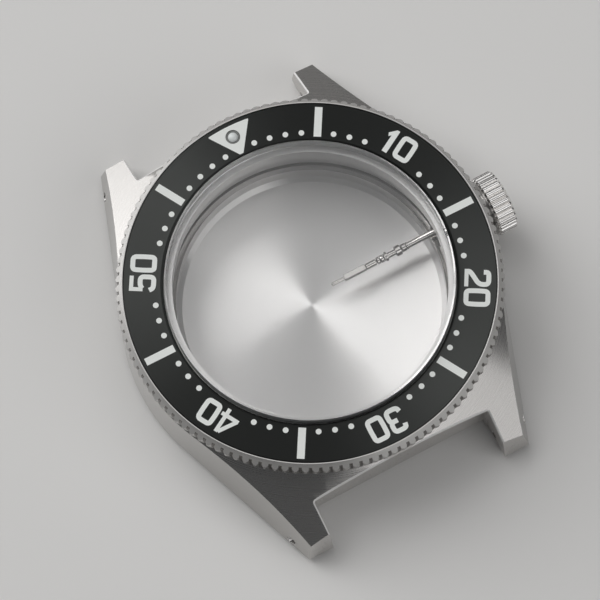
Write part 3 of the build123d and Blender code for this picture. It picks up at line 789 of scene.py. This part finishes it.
triangle_tip = 15.27 * MM
triangle_base = 18.53 * MM
triangle_half_tip = 0.2 * MM
triangle_half_base = 2.26 * MM
triangle_corner = 0.12 * MM
triangle_hole_radius = 0.75 * MM
tip_share = 0.2
corner_base = math.sqrt(triangle_base ** 2 - triangle_half_base ** 2) - triangle_corner
triangle_lines = []
for share in (-1, -0.8, -0.6, -0.4, -tip_share, tip_share, 0.4, 0.6, 0.8, 1):
    along_side = (abs(share) - tip_share) / (1 - tip_share)
    half_width = triangle_half_tip + along_side * (triangle_half_base - triangle_half_tip)
    across = math.copysign(half_width, share)
    base = math.sqrt(triangle_base ** 2 - across ** 2)
    foot = triangle_tip + along_side * (corner_base - triangle_tip)
    triangle_lines.append(((across, base), (across, foot)))
triangle = paint_strip("triangle", triangle_lines)
drill_bead_hole(triangle, (0, bead_place.length, 0), triangle_hole_radius)
marks.append((triangle, 0))

bpy.ops.object.select_all(action="DESELECT")
for mark, minute in marks:
    turn = Matrix.Rotation(-math.radians(bezel_rest_degrees + degrees_per_minute * minute), 4, "Z")
    mark.matrix_world = Matrix.Translation((0, 0, insert_top)) @ turn @ Matrix.Translation(mark.location)
    mark.select_set(True)
bpy.context.view_layer.objects.active = triangle
bpy.ops.object.transform_apply(location=True, rotation=True, scale=True)
bpy.ops.object.join()
triangle.name = "minute_marks"
mark_paint = worn_finish(
    "off-white paint", (0.86, 0.88, 0.85),
    scale=3000, rough_low=0.45, rough_high=0.6, depth=0.001 * MM, metallic=0,
)
triangle.data.materials.clear()
triangle.data.materials.append(mark_paint)
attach(triangle, "bezel")

# The bead at the zero mark: a dome of clear glass over a pale filling, in a small cup that is
# pressed into the insert's hole from above and ends just under its face. The cup and the dome's
# edge round the filling are painted grey as painted shade, for the shadow in the gap round the bead.

bead_foot, bead_top = bead_low[2], bead_high[2]
cup_radius = 0.71 * MM
cup_bevel = 0.04 * MM
cup_drop = 0.06 * MM
cup_top = insert_top - cup_drop
dome_radius = 0.62 * MM
painted_shade_ring_inner = 0.5 * MM
dome_middle = bead_top - dome_radius
bead_sides = 32
bead_section = [
    (cup_radius, bead_foot),
    (cup_radius, cup_top - cup_bevel),
    (cup_radius - cup_bevel, cup_top),
    (dome_radius, cup_top),
]
for degrees in (24, 34, 44, 54, 64, 74, 82):
    angle = math.radians(degrees)
    bead_section.append((dome_radius * math.cos(angle), dome_middle + dome_radius * math.sin(angle)))
bead = closed_turning("zero_bead", bead_section, bead_sides)
bpy.ops.object.mode_set(mode="EDIT")
bpy.ops.mesh.select_all(action="SELECT")
bpy.ops.transform.translate(value=bead_place)
bpy.ops.object.mode_set(mode="OBJECT")
bead_glass = worn_finish(
    "bead glass", (0.8, 0.83, 0.82),
    scale=1500, rough_low=0.05, rough_high=0.1, depth=0.0002 * MM, metallic=0,
)
# Grey painted shade for the cup and the edge of the dome.
bead_edge_painted_shade = worn_finish(
    "bead edge painted grey as shade", (0.3, 0.31, 0.3),
    scale=1500, rough_low=0.15, rough_high=0.25, depth=0.0002 * MM, metallic=0,
)
bead.data.materials.append(bead_glass)
bead.data.materials.append(bead_edge_painted_shade)
# Faces beyond the pale middle take the grey painted shade.
for face in bead.data.polygons:
    from_middle = math.hypot(face.center.x - bead_place.x, face.center.y - bead_place.y)
    face.material_index = 1 if from_middle > painted_shade_ring_inner else 0
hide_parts("lume_pip")
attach(bead, "bezel")

# The screw back: a turned steel cup with a thread and a flange that screws up into the case.
# Its floor shows through the crystal, finished in one fine spiral, and its outside is polished.

# The floor of the back is painted lighter than its polished outside, as painted light where the crystal
# keeps the lamps off.
back_inside_painted_light = turned_finish(
    "back inside steel painted lighter as light", (0.8, 0.79, 0.78),
    pitch=0.04 * MM, depth=0.0003 * MM, rough_low=0.31, rough_high=0.39, anisotropy=1.0,
)
back_outside_steel = worn_finish(
    "back steel polished", steel_colour,
    scale=900, rough_low=0.06, rough_high=0.12, depth=0.0002 * MM,
)
below_floor = 1.15 * MM
cup_mouth_radius = 14.2 * MM
case_back = dressed_copy("case_back", "screw_back", "back")
case_back.data.materials.append(back_inside_painted_light)
case_back.data.materials.append(back_outside_steel)
for face in case_back.data.polygons:
    place = face.center
    if place.z < below_floor or math.hypot(place.x, place.y) > cup_mouth_radius:
        face.material_index = 1

# The crown: a turned steel button with 28 rounded ridges and a low dome, drilled from behind for its
# rubber ring and the post. A steel washer keeps the post in, and a coil spring between the two lets
# the crown be pressed.

crown_low, crown_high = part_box("crown")
stem_height = (crown_low[2] + crown_high[2]) / 2
crown_inner, crown_outer = crown_low[0], crown_high[0]
ridge_count = 28
points_per_ridge = 8
ridge_shape = (0, 0.5, 0.84, 0.97, 1, 0.97, 0.84, 0.5)
crown_radius = (crown_high[1] - crown_low[1]) / 2
ridge_depth = 0.3 * MM
valley_radius = crown_radius - ridge_depth
crown_bevel = 0.18 * MM
ridge_end_drop = 0.5 * MM
ridge_end = crown_outer - ridge_end_drop
socket_radius, socket_end = 1.45 * MM, 22.51 * MM
bore_radius, bore_end = 2.05 * MM, 21.7 * MM
bore_bevel = 0.1 * MM
back_face_radius = 2.9 * MM
front_face_radius = 2.92 * MM
dome_foot_radius = 2.85
dome_height = 0.43 * MM
ridge_rings = [
    (crown_radius - crown_bevel, crown_inner),
    (crown_radius, crown_inner + crown_bevel),
    (crown_radius, ridge_end - crown_bevel),
    (crown_radius - crown_bevel, ridge_end),
]
crown_section = [
    (socket_radius, socket_end),
    (socket_radius, bore_end),
    (bore_radius, bore_end),
    (bore_radius, crown_inner + bore_bevel),
    (bore_radius + bore_bevel, crown_inner),
    (back_face_radius, crown_inner),
    *ridge_rings,
    (front_face_radius, ridge_end),
]
for radius in (dome_foot_radius, 2.6, 2.2, 1.7, 1.1, 0.5, 0.1):
    crown_section.append((radius * MM, crown_outer - dome_height * (radius / dome_foot_radius) ** 2))


def lay_on_crown_axis(piece):
    """Turns a piece made on the case axis so that it lies along the crown's axis."""
    bpy.ops.object.select_all(action="DESELECT")
    bpy.context.view_layer.objects.active = piece
    piece.select_set(True)
    bpy.ops.object.mode_set(mode="EDIT")
    bpy.ops.mesh.select_all(action="SELECT")
    bpy.ops.transform.rotate(value=math.radians(-90), orient_axis="Y", center_override=(0, 0, 0))
    bpy.ops.transform.translate(value=(0, 0, stem_height))
    bpy.ops.object.mode_set(mode="OBJECT")
    piece.select_set(False)


crown = closed_turning("fluted_crown", crown_section, ridge_count * points_per_ridge)
bpy.ops.object.mode_set(mode="EDIT")
mesh = bmesh.from_edit_mesh(crown.data)
for phase in range(points_per_ridge):
    for tip_radius, along in ridge_rings:
        shrink = (valley_radius + ridge_shape[phase] * (tip_radius - valley_radius)) / tip_radius
        select_ring(mesh, ridge_count, points_per_ridge, phase, tip_radius, along)
        bpy.ops.transform.resize(value=(shrink, shrink, 1), center_override=(0, 0, 0))
bpy.ops.object.mode_set(mode="OBJECT")
bpy.ops.object.shade_smooth_by_angle(angle=math.radians(38))
lay_on_crown_axis(crown)
crown_steel = worn_finish(
    "crown steel", (0.8, 0.785, 0.77),
    scale=1500, rough_low=0.17, rough_high=0.25, depth=0.0004 * MM,
)
crown.data.materials.append(crown_steel)
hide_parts("crown")
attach(crown, "crown")

washer_and_post = (("crown_retainer", "crown_washer", "crown"), ("crown_post", "post_in_crown", "stem"))
for node, name, body in washer_and_post:
    piece = dressed_copy(node, name, body, 20)
    piece.data.materials.append(crown_steel)

crown_spring = dressed_copy("crown_spring", "spring_in_crown", "stem", 40)
crown_spring.data.materials.append(spring_steel)
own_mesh(crown_spring)

# The winding stem: one thin rod of hard steel, turned with a barrel, three rings, a flange, a waist,
# a disc and a collar. It is threaded where it screws into the post, and filed square before the
# fine pilot at its tip.

stem_tip, stem_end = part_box("stem")[0][0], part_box("stem")[1][0]
stem_smooth_degrees = 25
shank_sides, pilot_sides = 24, 20
pilot_tip_radius, pilot_radius = 0.12 * MM, 0.18 * MM
pilot_bevel = 0.08 * MM
pilot_root = 0.1 * MM
square_start, square_end = 3.84 * MM, 6.34 * MM
square_half = 0.3 * MM
square_bevel = 0.05 * MM
core_radius = 0.2 * MM
groove_radius = 0.29 * MM
ring_side_slope = 0.9
root_radius, thread_radius = 0.34 * MM, 0.42 * MM
thread_start = 15.8 * MM
thread_pitch = 0.25 * MM
thread_turns = 14
thread_bevel = 0.1 * MM

# Radius and distance from the case's axis, in millimetres, along each part of the turned stretch
barrel = ((0.24, 6.34), (0.24, 6.4), (0.34, 6.42), (0.34, 7.52))
deep_groove = ((0.2, 7.54), (0.2, 7.68))
narrow_ring = ((0.38, 7.7), (0.4, 7.73), (0.4, 7.93), (0.38, 7.96))
first_gap = ((0.24, 7.97), (0.24, 8.07))
wide_ring = ((0.4, 8.08), (0.41, 8.11), (0.41, 8.37), (0.4, 8.4))
second_gap = ((0.24, 8.41), (0.24, 8.5))
last_ring = ((0.4, 8.51), (0.4, 8.68))
flange = ((0.52, 8.69), (0.52, 8.84))
waist = ((0.3, 8.85), (0.3, 9.83))
disc = ((0.52, 9.84), (0.57, 9.89), (0.57, 10.37), (0.52, 10.42))
gap_behind_disc = ((0.28, 10.43), (0.28, 10.54))
collar = ((0.4, 10.55), (0.42, 10.58), (0.42, 10.98), (0.4, 11.01))
gap_behind_collar = ((0.26, 11.02), (0.26, 11.11))
end_ring = ((0.39, 11.12), (0.39, 11.25))
rod = ((0.33, 11.26), (0.33, 15.4), (0.42, 15.6))
shank_section = [(core_radius, square_end - core_radius)]
for stretch in (
    barrel, deep_groove, narrow_ring, first_gap, wide_ring, second_gap, last_ring, flange, waist,
    disc, gap_behind_disc, collar, gap_behind_collar, end_ring, rod,
):
    shank_section += in_mm(*stretch)
for turn in range(thread_turns):
    shank_section.append((thread_radius, thread_start + turn * thread_pitch))
    shank_section.append((root_radius, thread_start + (turn + 0.5) * thread_pitch))
shank_section += [(thread_radius, stem_end - thread_bevel), (root_radius, stem_end)]
stem = closed_turning("winding_stem", shank_section, shank_sides, stem_smooth_degrees)
pilot = closed_turning("pilot", [
    (pilot_tip_radius, stem_tip),
    (pilot_radius, stem_tip + pilot_bevel),
    (pilot_radius, square_start + pilot_root),
], pilot_sides, stem_smooth_degrees)
bpy.ops.mesh.primitive_cube_add(size=2 * square_half, location=(0, 0, 0))
square = bpy.context.object
bpy.ops.object.mode_set(mode="EDIT")
bpy.ops.mesh.select_all(action="SELECT")
bpy.ops.transform.resize(value=(1, 1, (square_end - square_start) / (2 * square_half)))
bpy.ops.transform.translate(value=(0, 0, (square_start + square_end) / 2))
bpy.ops.mesh.bevel(offset=square_bevel, segments=2)
bpy.ops.object.mode_set(mode="OBJECT")
bpy.ops.object.select_all(action="DESELECT")
for part in (pilot, square, stem):
    part.select_set(True)
bpy.context.view_layer.objects.active = stem
bpy.ops.object.join()
lay_on_crown_axis(stem)
stem_steel = worn_finish(
    "stem steel", (0.62, 0.6, 0.58),
    scale=2500, rough_low=0.05, rough_high=0.09, depth=0.0001 * MM,
)
# The grooves between the stem's rings get a dark steel that is painted shade, standing in for the shade
# down in the narrow grooves.
stem_groove_painted_shade = worn_finish(
    "stem steel painted dark as shade in the grooves", (0.14, 0.135, 0.13),
    scale=2500, rough_low=0.25, rough_high=0.35, depth=0.0001 * MM,
)
stem.data.materials.append(stem_steel)
stem.data.materials.append(stem_groove_painted_shade)
# Faces in the grooves and on the ring sides take the painted shade.
for face in stem.data.polygons:
    from_axis = math.hypot(face.center.y, face.center.z - stem_height)
    in_groove = from_axis < groove_radius or abs(face.normal.x) > ring_side_slope
    if square_end < face.center.x < thread_start and in_groove:
        face.material_index = 1
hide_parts("stem")
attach(stem, "stem")
